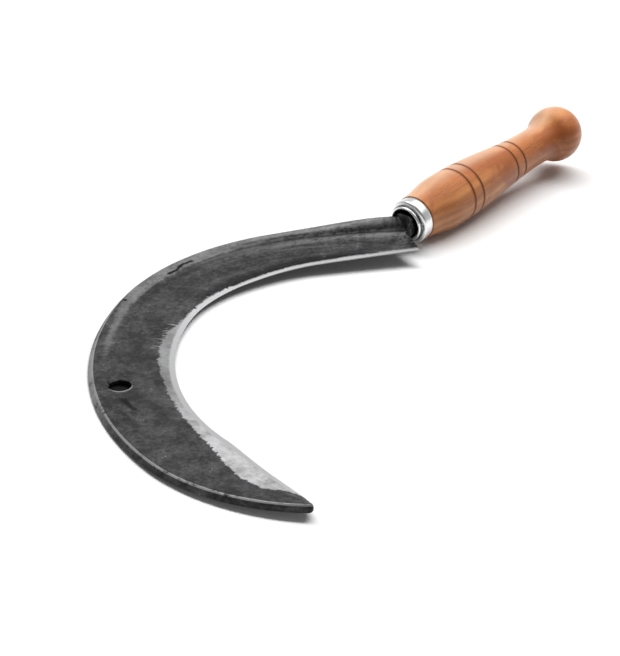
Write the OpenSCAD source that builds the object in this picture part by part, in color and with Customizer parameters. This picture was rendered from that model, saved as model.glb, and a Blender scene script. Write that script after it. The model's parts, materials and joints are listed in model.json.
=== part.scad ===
// Hand sickle: a forged steel blade on a turned beech handle with a steel ferrule.
// The blade is laid out flat, its underside on z = 0, with the middle of the ferrule's
// mouth over the origin. at_rest() then tips the whole tool the way it lies on a table,
// on the left of the blade and on the belly of the grip.

/* [Back of the blade, from the handle to the point] */
// Distance of the back's corner at the heel in front of the middle of the ferrule's mouth
heel_back = 4.6; // [3:0.1:6]
// Distance of that corner beyond the middle of the mouth
heel_side = 5.2; // [4:0.1:6]
// Direction in which the back leaves the heel
heel_turn = 180.5; // [178:0.5:183]
// Radius of the nearly straight stretch beside the handle
neck_r = 600; // [400:10:1200]
// Angle that this stretch turns through
neck_turn = 5; // [3:0.5:8]
// Radius of the tight bend behind the neck
bend_r = 121.5; // [105:0.5:135]
// Angle that the bend turns through
bend_turn = 66; // [58:0.5:72]
// Radius of the belly, the long sweep in the middle
belly_r = 190; // [170:1:215]
// Angle that the belly turns through
belly_turn = 54; // [46:0.5:60]
// Radius of the last stretch, up to the point
point_r = 113.5; // [100:0.5:130]
// Angle that the last stretch turns through
point_turn = 49; // [42:0.5:55]

/* [Width of the blade] */
// Width at the heel, beside the handle
heel_w = 28.5; // [25:0.5:32]
// Widest place, in the bend
bend_w = 46; // [40:0.5:50]
// Width along the belly
belly_w = 43.8; // [38:0.1:48]
// Width of the blunt tip
tip_w = 3; // [2:0.25:5]
// Length over which the heel widens
heel_len = 120; // [90:5:130]
// Where the belly starts to narrow again, along the back
narrow_from = 130; // [125:5:150]
// Length over which it narrows
narrow_len = 95; // [60:5:120]
// Length over which the belly runs out to the tip
tip_len = 90; // [70:5:110]
// Slant of the heel's end, as a slope across the blade
heel_slant = 0.41; // [0.3:0.01:0.5]

/* [Section of the blade] */
// Height of the crown of the back
crown_h = 4; // [3.4:0.1:5]
// Height of the crown at the heel, where it becomes the tang
root_h = 9.5; // [8:0.1:10]
// Length over which the crown rises to the tang
root_len = 75; // [50:5:100]
// Width of the crown's top
crown_w = 3.5; // [2.5:0.1:5]
// How far the crown's top falls towards the blade
crown_fall = 0.2; // [0:0.05:0.4]
// Width of the whole rib that stiffens the back
rib_w = 10; // [8:0.5:13]
// Thickness of the plate at the foot of the rib
plate_t = 3; // [2.4:0.1:3.2]
// Thickness of the plate where the ground bevel starts
shoulder_t = 1.9; // [1.5:0.1:2]
// Thickness left at the cutting edge
edge_t = 0.5; // [0.4:0.05:0.8]
// Chamfer on both corners of the back
back_chamfer = 0.8; // [0.4:0.1:1.2]
// How far the foot of the back stands out past its crown
back_flare = 2.3; // [0.8:0.1:2.8]
// Width of the ground bevel near the heel
heel_bevel_w = 4; // [3:0.5:6]
// Width of the ground bevel near the tip
tip_bevel_w = 12; // [9:0.5:14]
// Height of the second ridge at the heel, above the plate
ridge_h = 1.9; // [1:0.1:2.2]
// Distance of the second ridge from the back
ridge_in = 17; // [15:0.5:19]
// Length over which the second ridge fades out
ridge_len = 130; // [90:5:160]

/* [Hanging hole] */
// Diameter of the hanging hole
hole_d = 12; // [9:0.5:13]
// Distance of the hole from the heel, along the back
hole_along = 289; // [270:1:310]
// Distance of the hole's centre from the back
hole_in = 13.8; // [12:0.1:20]

/* [Tang] */
// Width of the tang's root, in the mouth of the ferrule
root_w = 14; // [12:0.5:14.5]
// Depth of the tang's root
root_d = 12.5; // [11:0.5:13]
// Rounding of the root's corners
root_round = 4.5; // [4:0.5:5]
// Side of the square tang behind its root
tang_side = 8; // [7:0.1:9]
// Length of the root
root_taper = 14; // [10:1:20]
// Rounding of the square tang's corners
tang_round = 0.5; // [0.3:0.1:1]
// Side of the square tang at its end
tang_end = 3.6; // [3:0.1:5]
// Length of the tang behind the mouth of the ferrule
tang_len = 96; // [70:1:110]
// Gap left round the tang in the handle
tang_gap = 0.1; // [0.05:0.05:0.3]

/* [Handle] */
// Direction of the handle, seen from above
handle_turn = 49.5; // [44:0.5:55]
// Upward crank of the handle out of the blade's plane
handle_rise = 1.6; // [0:0.1:4]
// Height of the handle's axis over the blade's underside, at the ferrule
mouth_h = 5.7; // [5:0.1:6.6]
// Radius of the wood where it leaves the ferrule
shoulder_r = 13.7; // [13.5:0.1:14.5]
// Radius of the belly of the grip
grip_r = 16.7; // [15.5:0.1:19]
// Start of the belly of the grip, from the mouth of the ferrule
grip_start = 35; // [30:1:40]
// End of the belly of the grip
grip_end = 43; // [42:0.5:46]
// Radius of the waist
waist_r = 11.4; // [11:0.1:13]
// Place of the waist, from the mouth of the ferrule
waist_at = 125; // [118:1:130]
// Radius of the round knob
knob_r = 17; // [15.5:0.1:18.5]
// Place of the knob's centre, from the mouth of the ferrule
knob_at = 148.6; // [146:0.1:156]
// Radius of the hollow between waist and knob
throat_r = 25; // [15:1:28]
// Depth of the burnt grooves
groove_depth = 0.7; // [0.4:0.1:1.2]
// Width of the burnt grooves
groove_w = 1.4; // [1:0.1:2]
// Middle of the first pair of grooves
front_grooves_at = 50.5; // [49:0.5:56]
// Middle of the second pair of grooves
rear_grooves_at = 98; // [92:0.5:106]
// Distance between the two grooves of a pair
groove_pitch = 8.8; // [6:0.1:11]

/* [Ferrule] */
// Outer radius of the ferrule
ferrule_r = 13.2; // [12.9:0.1:13.5]
// Length of the ferrule
ferrule_len = 10; // [9:0.5:15]
// Wall of the ferrule
ferrule_wall = 1; // [0.8:0.1:1.2]
// Radius of the opening inside the rolled lip
mouth_r = 8.7; // [8.4:0.1:8.8]
// Thickness of the rolled lip
lip_t = 2; // [1.8:0.1:2.2]
// Radius of the neck in the groove behind the lip
neck_groove_r = 9.9; // [9.8:0.1:10.2]
// Width of the groove behind the lip
neck_groove_w = 0.5; // [0.3:0.1:0.8]
// Distance from the mouth to the full width of the ferrule
body_at = 4; // [3.8:0.1:4.4]
// Gap between the ferrule and the wood in it
seat_gap = 0.05; // [0.02:0.01:0.1]
// Gap between the ferrule's shoulder and the wood's front face
front_gap = 0.5; // [0.2:0.1:1.5]

/* [Lying on a table] */
// Direction in which the blade's underside climbs, seen from above
rest_turn = 12; // [6:1:20]

/* [Hidden] */
stations = 76;
round_fn = 96;
slab = 0.02;
// Distance between the points of the turned outline, and the points on each round of it
turn_step = 3;
swell_steps = 8;
throat_steps = 8;
knob_steps = 20;
up = [0, 0, 1];
// Exponents that shape how the width grows at the heel and runs out at the tip
heel_full = 1.8;
tip_round = 1.7;
tip_full = 0.7;
// The rib's flank: how far in from the back it is at its middle, as a share of the rib's width,
// and how high its middle and its foot are, as shares of the step from the plate to the crown
flank_in = 0.8;
flank_high = 0.56;
foot_high = 0.16;
// The most of the narrow tip's width that each part of the section may take
chamfer_most = 0.15;
flare_most = 0.3;
crown_most = 0.3;
flank_most = 0.45;
foot_most = 0.55;
ridge_most = 0.65;
bevel_most = 0.25;

// Small helpers for curves and lists
function mix(a, b, t) = a + (b - a) * t;
function share(x, x0, x1) = min(1, max(0, (x - x0) / (x1 - x0)));
function ease(t) = (1 - cos(180 * t)) / 2;
function sorted(v) = len(v) < 2 ? v : let (m = v[floor(len(v) / 2)]) concat(
    sorted([for (x = v) if (x < m) x]),
    [for (x = v) if (x == m) x],
    sorted([for (x = v) if (x > m) x]));

// The back is a chain of arcs, each tangent to the next. A pose is x, y and heading.
back_arcs = [[neck_r, neck_turn], [bend_r, bend_turn], [belly_r, belly_turn], [point_r, point_turn]];
back_start = [-heel_back, heel_side, heel_turn];
function arc_len(a) = a[0] * a[1] * PI / 180;
function pose_after(p, r, s) = let (h = p[2] + s / r * 180 / PI)
    [p[0] + r * (sin(h) - sin(p[2])), p[1] - r * (cos(h) - cos(p[2])), h];
function back_pose(s, i = 0, p = back_start) = let (a = back_arcs[i], l = arc_len(a))
    s <= l || i == len(back_arcs) - 1 ? pose_after(p, a[0], s)
    : back_pose(s - l, i + 1, pose_after(p, a[0], l));
back_len = arc_len(back_arcs[0]) + arc_len(back_arcs[1]) + arc_len(back_arcs[2]) + arc_len(back_arcs[3]);
bend_len = arc_len(back_arcs[0]) + arc_len(back_arcs[1]);

// How the section changes along the back
function body_w(s) = s < narrow_from
    ? mix(heel_w, bend_w, 1 - pow(1 - share(s, 0, heel_len), heel_full))
    : mix(bend_w, belly_w, ease(share(s, narrow_from, narrow_from + narrow_len)));
function width(s) = let (t = share(s, back_len - tip_len, back_len))
    mix(tip_w, body_w(s), pow(1 - pow(t, tip_round), tip_full));
function crown(s) = mix(root_h, crown_h, ease(share(s, 0, root_len)));
function flare(s) = back_flare * ease(share(s, 0, root_len));
function ridge(s) = ridge_h * (1 - ease(share(s, 0, ridge_len)));
function bevel_w(s) = mix(heel_bevel_w, tip_bevel_w, ease(share(s, bend_len / 2, back_len - tip_len)));
function slant(s) = heel_slant * pow(1 - share(s, 0, root_len), 2);

// A point of the blade, s along the back, v in from it and z above the underside
function blade_point(s, v, z) = let (p = back_pose(s), k = slant(s))
    [p[0] - v * sin(p[2]) - k * v * cos(p[2]), p[1] + v * cos(p[2]) - k * v * sin(p[2]), z];

// The section runs from the underside round the edge and over the top to the back
function section(s) = let (
        w = width(s),
        top = crown(s),
        c = min(back_chamfer, w * chamfer_most),
        flare_out = min(flare(s), w * flare_most),
        crown_v = min(crown_w, w * crown_most),
        flank_v = min(rib_w * flank_in, w * flank_most),
        foot_v = min(rib_w + ridge(s), w * foot_most),
        ridge_v = min(ridge_in, w * ridge_most),
        shoulder_v = max(w - bevel_w(s), w * (1 - bevel_most)),
        plate_z = mix(plate_t, shoulder_t, share(ridge_v, foot_v, shoulder_v)))
    [[c - flare_out, 0], [w, 0], [w, edge_t], [shoulder_v, shoulder_t],
     [ridge_v, plate_z + ridge(s)],
     [foot_v, mix(plate_t, top, foot_high)],
     [flank_v, mix(plate_t, top, flank_high)],
     [crown_v, top - crown_fall], [c, top], [0, top - c], [-flare_out, c]];
function station(i) = back_len * sin(90 * i / stations);
rings = [for (i = [0 : stations]) let (s = station(i)) [for (q = section(s)) blade_point(s, q[0], q[1])]];
ring_n = len(rings[0]);

// The handle's axis, in the blade's flat frame
axis_dir = [cos(handle_rise) * cos(handle_turn), cos(handle_rise) * sin(handle_turn), sin(handle_rise)];
function on_axis(x) = [0, 0, mouth_h] + axis_dir * x;

// Rest on a table: the blade's underside tips up until ferrule and grip only just clear the table
climb = [cos(rest_turn), sin(rest_turn), 0];
level = [-sin(rest_turn), cos(rest_turn), 0];
back_reach = max([for (r = rings) -(r[0] * climb)]);
// The places on the handle's axis that can touch the table, each with its radius
feet = [[body_at, ferrule_r], [grip_start, grip_r], [grip_end, grip_r]];
function drop(f) = atan((f[1] - on_axis(f[0])[2]) / (back_reach + on_axis(f[0]) * climb));
rest_tilt = max([for (f = feet) drop(f)]);
function tipped(p) = climb * (p * climb * cos(rest_tilt) - p[2] * sin(rest_tilt)) + level * (p * level)
    + up * (p * climb * sin(rest_tilt) + p[2] * cos(rest_tilt));
tipped_axis = tipped(axis_dir);
function foot_low(f) = tipped(on_axis(f[0]))[2] - f[1] * sqrt(1 - tipped_axis[2] * tipped_axis[2]);
tipped_blade = [for (r = rings) for (q = r) tipped(q)];
tipped_knob = tipped(on_axis(knob_at));
function low(k) = min([for (q = tipped_blade) q[k]]);
low_z = min(concat([low(2)], [for (f = feet) foot_low(f)]));
middle_x = (low(0) + tipped_knob[0] + knob_r) / 2;
middle_y = (low(1) + tipped_knob[1] + knob_r) / 2;

module at_rest() {
    translate([-middle_x, -middle_y, -low_z])
        rotate(a = -rest_tilt, v = level)
            children();
}

// The handle's own frame: z runs from the mouth of the ferrule to the knob, x stays level
module on_handle() {
    translate([0, 0, mouth_h])
        rotate([0, 90 - handle_rise, handle_turn])
            children();
}

// Blade: one forging, with the tang drawn out of the crown of its back
module blade() {
    color([0.3, 0.3, 0.31])
        at_rest()
            difference() {
                union() {
                    blade_loft();
                    tang();
                }
                hanging_hole();
            }
}

module blade_loft() {
    ring = [for (j = [0 : ring_n - 1]) j];
    sides = [for (i = [0 : stations - 1]) for (j = ring)
        let (a = i * ring_n + j, b = i * ring_n + (j + 1) % ring_n)
            each [[a, b + ring_n, b], [a, a + ring_n, b + ring_n]]];
    heel_end = ring;
    tip_end = [for (j = ring) (stations + 1) * ring_n - 1 - j];
    polyhedron(points = [for (r = rings) for (q = r) q], faces = concat(sides, [heel_end], [tip_end]));
}

module hanging_hole() {
    translate(blade_point(hole_along, hole_in, -plate_t))
        cylinder(d = hole_d, h = plate_t * 2 + root_h, $fn = round_fn);
}

// The tang's root grows out of the rib and the plate beside it, fills most of the ferrule's
// mouth, and draws down to a square bar that tapers to its end
module tang() {
    hull() {
        heel_slab(back_chamfer, crown_w, root_h - back_chamfer);
        heel_slab(crown_w, rib_w * flank_in, mix(plate_t, root_h, flank_high));
        heel_slab(rib_w, ridge_in, plate_t);
        tang_slab(0, root_w, root_d, root_round);
    }
    tang_bar(0);
}

// An upright slab in the heel's end, from v0 to v1 in from the back and up to the height z
module heel_slab(v0, v1, z) {
    p = back_pose(0);
    turn = atan(heel_slant);
    translate(blade_point(0, v0, edge_t))
        rotate([0, 0, p[2] + 90 + turn])
            cube([(v1 - v0) / cos(turn), slab, z - edge_t]);
}

// A slab across the handle's axis, x behind the mouth of the ferrule
module tang_slab(x, w, d, corner) {
    on_handle()
        translate([0, 0, x])
            linear_extrude(slab)
                offset(r = corner, $fn = 32)
                    square([d - corner * 2, w - corner * 2], center = true);
}

module tang_bar(gap) {
    side = tang_side + gap * 2;
    end = tang_end + gap * 2;
    hull() {
        tang_slab(0, root_w + gap * 2, root_d + gap * 2, root_round + gap);
        tang_slab(root_taper, side, side, tang_round + gap);
    }
    hull() {
        tang_slab(root_taper, side, side, tang_round + gap);
        tang_slab(tang_len + gap, end, end, tang_round + gap);
    }
}

// Ferrule: a short steel tube, drawn in at the front and rolled into a lip
shoulder_in = body_at + ferrule_wall / 2;
module ferrule() {
    color([0.8, 0.82, 0.84])
        at_rest()
            on_handle()
                rotate_extrude($fn = round_fn)
                    ferrule_profile();
}

module ferrule_profile() {
    lip_mid = mouth_r + lip_t / 2;
    neck_in = neck_groove_r - ferrule_wall;
    neck_end = lip_t + neck_groove_w;
    bore_r = ferrule_r - ferrule_wall;
    translate([lip_mid, lip_t / 2])
        circle(d = lip_t, $fn = round_fn / 2);
    // The wall leaves the lip as a narrow neck, swells out in a quarter round to the body and
    // runs straight to its end
    swell = [for (a = [0 : 30 : 90])
        [mix(neck_groove_r, ferrule_r, sin(a)), mix(neck_end, body_at, 1 - cos(a))]];
    polygon(concat(
        [[neck_in, lip_t / 2], [neck_groove_r, lip_t / 2]],
        swell,
        [[ferrule_r, ferrule_len], [bore_r, ferrule_len], [bore_r, shoulder_in],
         [neck_in, neck_end + ferrule_wall / 2]]));
}

// Handle: turned beech with two pairs of burnt grooves and a round knob
groove_places = [for (m = [front_grooves_at, rear_grooves_at]) for (k = [-0.5, 0.5]) m + k * groove_pitch];
function near_groove(z) = min([for (g = groove_places) abs(z - g)]);
function turned_r(z) = z < grip_start
    ? mix(shoulder_r, grip_r, ease(share(z, shoulder_at, grip_start)))
    : mix(grip_r, waist_r, ease(share(z, grip_end, waist_at)));
wood_front = shoulder_in + front_gap;
shoulder_at = ferrule_len + seat_gap;
throat_at = knob_at - sqrt(pow(knob_r + throat_r, 2) - pow(waist_r + throat_r, 2));
throat_end = asin((knob_at - throat_at) / (knob_r + throat_r));
knob_from = 90 + throat_end;

module handle() {
    color([0.8, 0.58, 0.4])
        at_rest()
            difference() {
                on_handle() rotate_extrude($fn = round_fn) handle_profile();
                tang_bar(tang_gap);
            }
}

module handle_profile() {
    plain = [for (z = [grip_start : turn_step : waist_at]) if (near_groove(z) > groove_w) z];
    swell = [for (i = [0 : swell_steps]) mix(shoulder_at, grip_start - turn_step, i / swell_steps)];
    grooves = [for (g = groove_places) for (k = [-1, 0, 1])
        [turned_r(g + k * groove_w / 2) - (k == 0 ? groove_depth : 0), g + k * groove_w / 2]];
    turned = [for (z = concat(swell, plain)) [turned_r(z), z]];
    wall = concat(turned, grooves);
    order = sorted([for (q = wall) q[1]]);
    throat = [for (i = [0 : throat_steps]) let (a = throat_end * i / throat_steps)
        [waist_r + throat_r - throat_r * cos(a), throat_at + throat_r * sin(a)]];
    knob = [for (i = [1 : knob_steps]) let (a = mix(knob_from, 0, i / knob_steps))
        [max(0, knob_r * sin(a)), knob_at + knob_r * cos(a)]];
    inner_r = ferrule_r - ferrule_wall - seat_gap;
    polygon(concat(
        [[0, wood_front], [inner_r, wood_front], [inner_r, shoulder_at]],
        [for (z = order) [for (q = wall) if (q[1] == z) q][0]],
        throat, knob));
}

blade();
ferrule();
handle();
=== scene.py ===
# %% [markdown]
# # A hand sickle
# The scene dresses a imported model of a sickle: a forged blade, a short steel ferrule and a
# turned beech handle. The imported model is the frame. It says where everything sits, and
# this script only adds the finer shapes and the finishes. Lengths are worked out in
# millimetres, as on a drawing, and turned into metres when a piece is put in place.

import json
from math import asin, ceil, cos, exp, pi, radians, sin, sqrt

import bmesh
import bpy
from mathutils import Matrix, Vector, noise


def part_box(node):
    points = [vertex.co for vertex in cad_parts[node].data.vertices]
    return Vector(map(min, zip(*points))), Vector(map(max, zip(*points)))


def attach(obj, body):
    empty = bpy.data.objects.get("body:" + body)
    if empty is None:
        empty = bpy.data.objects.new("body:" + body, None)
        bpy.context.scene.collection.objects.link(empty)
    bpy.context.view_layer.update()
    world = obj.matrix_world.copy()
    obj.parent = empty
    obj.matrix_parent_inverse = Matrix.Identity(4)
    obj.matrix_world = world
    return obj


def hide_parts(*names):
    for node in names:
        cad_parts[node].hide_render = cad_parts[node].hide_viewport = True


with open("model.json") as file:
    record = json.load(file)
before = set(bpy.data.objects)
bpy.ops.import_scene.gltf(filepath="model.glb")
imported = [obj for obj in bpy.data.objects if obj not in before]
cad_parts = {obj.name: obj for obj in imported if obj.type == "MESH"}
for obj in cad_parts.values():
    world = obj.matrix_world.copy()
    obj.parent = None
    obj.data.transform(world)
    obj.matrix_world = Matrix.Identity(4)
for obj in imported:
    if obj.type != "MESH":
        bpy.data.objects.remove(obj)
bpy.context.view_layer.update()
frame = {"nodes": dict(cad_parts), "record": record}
MM = 0.001
for name in sorted(frame["nodes"]):
    low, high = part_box(name)
    print(name, "spans", [round((b - a) / MM, 1) for a, b in zip(low, high)], "mm")

# %% [markdown]
# ## The camera
# A photograph taken from far away with a long lens looks calm, with little perspective.
# Blender can copy such a view from four things: where the camera stands, how far it looks
# down, its focal length and a small shift. A focal length known in pixels becomes one in
# millimetres when it is scaled by the sensor's long side over the picture's long side.

# %% Camera
PICTURE_LONG_PX, FOCAL_PX, SHIFT_PX = 656, 2400, -3
SENSOR = 36
CAMERA_AT = (-0.024607, -1.176159, 0.602914)
LOOK_DOWN, TURN_LEFT, ROLL = 27.413, 0.05, -0.027
scene = bpy.context.scene
camera_data = bpy.data.cameras.new("camera")
camera_data.sensor_width = SENSOR
camera_data.lens = FOCAL_PX * SENSOR / PICTURE_LONG_PX
camera_data.shift_y = SHIFT_PX / PICTURE_LONG_PX
camera_data.clip_start, camera_data.clip_end = 0.05, 50
camera = bpy.data.objects.new("camera", camera_data)
camera.location = CAMERA_AT
camera.rotation_euler = (radians(90 - LOOK_DOWN), radians(ROLL), radians(TURN_LEFT))
scene.collection.objects.link(camera)
scene.camera = camera
scene.view_settings.view_transform = "Standard"
print("lens", round(camera_data.lens, 1), "mm, looking down", LOOK_DOWN, "degrees")

# %% [markdown]
# ## Small helpers for materials
# A material is a net of nodes. Every net below is built with the same few helpers. One adds
# a node and sets or links its inputs. The others are short names for the nodes that come up
# again and again, such as a sum, a soft step, a noise or a blend of two colours.

# %% Add and link nodes
def give(tree, socket, value):
    """Links another node's output to a socket, or sets the socket to a plain value."""
    if isinstance(value, bpy.types.NodeSocket):
        tree.links.new(value, socket)
    elif socket.type == "RGBA":
        socket.default_value = (*value, 1)
    else:
        socket.default_value = value


def add(tree, kind, settings=None, **inputs):
    """Adds a node. Its inputs go by their names, or by their numbers as i0, i1 and so on."""
    made = tree.nodes.new("ShaderNode" + kind)
    for key, value in (settings or {}).items():
        setattr(made, key, value)
    for key, value in inputs.items():
        numbered = key[0] == "i" and key[1:].isdigit()
        give(tree, made.inputs[int(key[1:]) if numbered else key.replace("_", " ")], value)
    return made


def new_material(name):
    """An empty material, with its tree of nodes and its shader."""
    material = bpy.data.materials.new(name)
    material.use_nodes = True
    tree = material.node_tree
    tree.nodes.clear()
    shader = add(tree, "BsdfPrincipled")
    add(tree, "OutputMaterial", Surface=shader.outputs[0])
    return material, tree, shader


def set_shader(tree, shader, **inputs):
    """Gives the shader's inputs their values or links."""
    for key, value in inputs.items():
        give(tree, shader.inputs[key.replace("_", " ")], value)


def object_position(tree):
    """Where a point lies in its object, in metres."""
    return add(tree, "TexCoord").outputs["Object"]


print("nodes can be added")

# %% Arithmetic
def maths(tree, operation, a, b=0.0, c=0.0, clamp=False):
    """One step of arithmetic."""
    settings = {"operation": operation, "use_clamp": clamp}
    return add(tree, "Math", settings, i0=a, i1=b, i2=c).outputs[0]


def plus(tree, a, b):
    """The sum of a and b."""
    return maths(tree, "ADD", a, b)


def minus(tree, a, b):
    """What is left of a without b."""
    return maths(tree, "SUBTRACT", a, b)


def times(tree, a, b):
    """The product of a and b."""
    return maths(tree, "MULTIPLY", a, b)


def times_plus(tree, a, b, c):
    """The product of a and b, with c added."""
    return maths(tree, "MULTIPLY_ADD", a, b, c)


def larger(tree, a, b):
    """The larger of a and b."""
    return maths(tree, "MAXIMUM", a, b)


def apart(tree, a, b):
    """How far two numbers are from each other."""
    return maths(tree, "ABSOLUTE", minus(tree, a, b))


def vectors(tree, operation, a, b=(0, 0, 0)):
    """One step of arithmetic with vectors. Its outputs are a Vector and a Value."""
    return add(tree, "VectorMath", {"operation": operation}, i0=a, i1=b).outputs


print("arithmetic ready")

# %% Steps, noise and blends
def step(tree, value, low, high):
    """A soft step: 0 below low, 1 above high, smooth between."""
    made = add(tree, "MapRange", {"interpolation_type": "SMOOTHSTEP"},
               Value=value, From_Min=low, From_Max=high)
    return made.outputs["Result"]


def fade(tree, value, low, high):
    """A soft step down: 1 below low, 0 above high."""
    return minus(tree, 1.0, step(tree, value, low, high))


def grain(tree, place, scale, detail=4.0, rough=0.55, distort=0.0):
    """Noise from 0 to 1, with so many lumps to the metre."""
    made = add(tree, "TexNoise", Vector=place, Scale=scale, Detail=detail,
               Roughness=rough, Distortion=distort)
    return made.outputs["Fac"]


def push(tree, lumps, reach):
    """Noise turned into a push to either side, by half the reach at most."""
    return times(tree, minus(tree, lumps, 0.5), reach)


def stretched(tree, place, x, y, z):
    """The same place with each direction scaled by its own amount."""
    return add(tree, "Mapping", Vector=place, Scale=(x, y, z)).outputs["Vector"]


def between(tree, factor, a, b):
    """The number a where factor is 0 and b where it is 1."""
    return add(tree, "Mix", {"data_type": "FLOAT"}, i0=factor, i2=a, i3=b).outputs[0]


def blended(tree, factor, a, b):
    """Colour a where factor is 0 and b where it is 1."""
    return add(tree, "Mix", {"data_type": "RGBA"}, i0=factor, i6=a, i7=b).outputs[2]


def bump(tree, relief, strength, depth):
    """The directions of a surface that rises with the relief, by a depth in metres."""
    made = add(tree, "Bump", Strength=strength, Distance=depth, Height=relief)
    return made.outputs["Normal"]


print("steps, noise and blends ready")

# %% [markdown]
# ## Light and floor
# The sickle lies on a white table under one large soft lamp, high up and behind it, so its
# shadow falls below it and a little towards the viewer. The lamp alone would leave the
# metal black, because metal shows only what surrounds it, and its outline would lie on the
# steel as a hard white patch. So rays that bounce off something shiny don't see the lamp.
# They see the world instead, which is bright overhead and at the back and darker towards
# the camera. The floor and the world look white to the camera through Light Path, and not
# by more light.

# %% Floor
FLOOR_HALF = 6
TABLE_WHITE, TABLE_BOUNCE = (0.96, 0.96, 0.96), (0.5, 0.5, 0.5)
# The lamp is weaker towards the camera, so the floor's own glow grows between these places
LIFT_FROM, LIFT_TO = -0.12, -0.45
LIFT_LEAST, LIFT_MORE = 0.03, 0.14
DULL = {"Roughness": 0.9, "Specular_IOR_Level": 0.1}


def object_from(bm, name):
    """Turns a bmesh into an object of the scene."""
    data = bpy.data.meshes.new(name)
    bm.to_mesh(data)
    bm.free()
    made = bpy.data.objects.new(name, data)
    scene.collection.objects.link(made)
    return made


floor_mesh = bmesh.new()
bmesh.ops.create_grid(floor_mesh, x_segments=1, y_segments=1, size=FLOOR_HALF)
floor = object_from(floor_mesh, "floor")
floor_paint, tree, shader = new_material("white_table")
seen = add(tree, "LightPath").outputs
table = blended(tree, seen["Is Diffuse Ray"], TABLE_WHITE, TABLE_BOUNCE)
set_shader(tree, shader, Base_Color=table, **DULL)
shown = larger(tree, seen["Is Camera Ray"], seen["Is Glossy Ray"])
shown = larger(tree, shown, seen["Is Transmission Ray"])
forward = add(tree, "SeparateXYZ", Vector=object_position(tree)).outputs["Y"]
lift = times_plus(tree, step(tree, forward, LIFT_FROM, LIFT_TO), LIFT_MORE, LIFT_LEAST)
glow = add(tree, "Emission", Color=(1, 1, 1), Strength=times(tree, shown, lift))
both = add(tree, "AddShader", i0=shader.outputs[0], i1=glow.outputs[0])
give(tree, tree.nodes["Material Output"].inputs["Surface"], both.outputs[0])
floor.data.materials.append(floor_paint)
print("floor of", 2 * FLOOR_HALF, "m laid")

# %% Lamp
LAMP_LONG, LAMP_DEEP, LAMP_WATTS = 3.2, 0.8, 77
LAMP_AT = Vector((0.35, 0.9, 2.1))
lamp_data = bpy.data.lights.new("softbox", "AREA")
lamp_data.shape = "RECTANGLE"
lamp_data.size, lamp_data.size_y = LAMP_LONG, LAMP_DEEP
lamp_data.energy = LAMP_WATTS
lamp = bpy.data.objects.new("softbox", lamp_data)
lamp.location = LAMP_AT
lamp.rotation_euler = (-LAMP_AT).to_track_quat("-Z", "Y").to_euler()
lamp.visible_glossy = False
scene.collection.objects.link(lamp)
print("lamp of", lamp_data.energy, "W, hidden from shiny rays")

# %% World
# Light on dull surfaces from all round, and strengths of what shiny surfaces mirror. The
# steps below read a direction, whose Z is 1 straight up and whose Y is 1 straight back.
FILL = 0.1
SOFTBOX, SOFTBOX_DIP = 2.2, 0.6
ROOM_LEAST, ROOM_BACK, ROOM_WALL = 0.2, 0.44, 0.25
world = bpy.data.worlds.new("studio")
scene.world = world
world.use_nodes = True
tree = world.node_tree
tree.nodes.clear()
way = add(tree, "SeparateXYZ", Vector=add(tree, "TexCoord").outputs["Generated"]).outputs
overhead = times(tree, step(tree, way["Z"], 0.45, 0.85), step(tree, way["Y"], -0.6, -0.05))
zenith = step(tree, way["Z"], 0.9, 0.985)
overhead = times(tree, overhead, times_plus(tree, zenith, -SOFTBOX_DIP, 1.0))
low_wall = fade(tree, way["Z"], 0.15, 0.42)
back_wall = times_plus(tree, low_wall, ROOM_WALL, ROOM_BACK)
low_light = times_plus(tree, step(tree, way["Y"], -0.5, 0.7), back_wall, ROOM_LEAST)
room = larger(tree, low_light, times(tree, overhead, SOFTBOX))
seen = add(tree, "LightPath").outputs
bright = times_plus(tree, seen["Is Glossy Ray"], minus(tree, room, FILL), FILL)
shown = larger(tree, seen["Is Camera Ray"], seen["Is Transmission Ray"])
sky = add(tree, "Background", Color=(1, 1, 1), Strength=larger(tree, bright, shown))
add(tree, "OutputWorld", Surface=sky.outputs[0])
print("world with a fill of", FILL, "and a mirrored softbox of", SOFTBOX)

# %% [markdown]
# ## Where the pieces sit
# The drawing of the sickle has the blade lying flat and the middle of the ferrule's mouth
# at the origin. On the table the whole tool leans a little. The hanging hole tells how: the
# record gives the hole's place and the way it points. Turning the drawing's upright until
# it points the same way, and moving the hole onto its place, puts every piece right.

# %% Reading a drawing
def mix(a, b, t):
    """The number that lies t of the way from a to b."""
    return a + (b - a) * t


def share(x, x0, x1):
    """How far x has come from x0 to x1, between 0 and 1."""
    return min(1.0, max(0.0, (x - x0) / (x1 - x0)))


def ease(t):
    """Goes from 0 to 1 with a soft start and end."""
    return (1 - cos(pi * t)) / 2


def along(x, table):
    """Reads a value between the rows of a short table of (x, value)."""
    for (x0, y0), (x1, y1) in zip(table, table[1:]):
        if x <= x1:
            return mix(y0, y1, share(x, x0, x1))
    return table[-1][1]


print("halfway is", along(5, [(0, 0), (10, 1)]))

# %% The back of the blade
# Each stretch of the back is an arc: its radius and the angle it turns through
BACK_ARCS = [(600, 5), (121.5, 66), (190, 54), (113.5, 49)]
BACK_START = (-4.6, 5.2, radians(180.5))
BACK_LEN = sum(radius * radians(angle) for radius, angle in BACK_ARCS)
# The heel is cut aslant, which fades out along the blade
HEEL_SLANT, SLANT_LEN = 0.41, 75


def back_pose(s):
    """Place and heading of the back, s millimetres from the heel."""
    x, y, heading = BACK_START
    for i, (radius, angle) in enumerate(BACK_ARCS):
        last = i == len(BACK_ARCS) - 1
        run = s if last else min(s, radius * radians(angle))
        turned = heading + run / radius
        x += radius * (sin(turned) - sin(heading))
        y -= radius * (cos(turned) - cos(heading))
        heading = turned
        s -= run
        if s <= 0:
            break
    return x, y, heading


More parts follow.
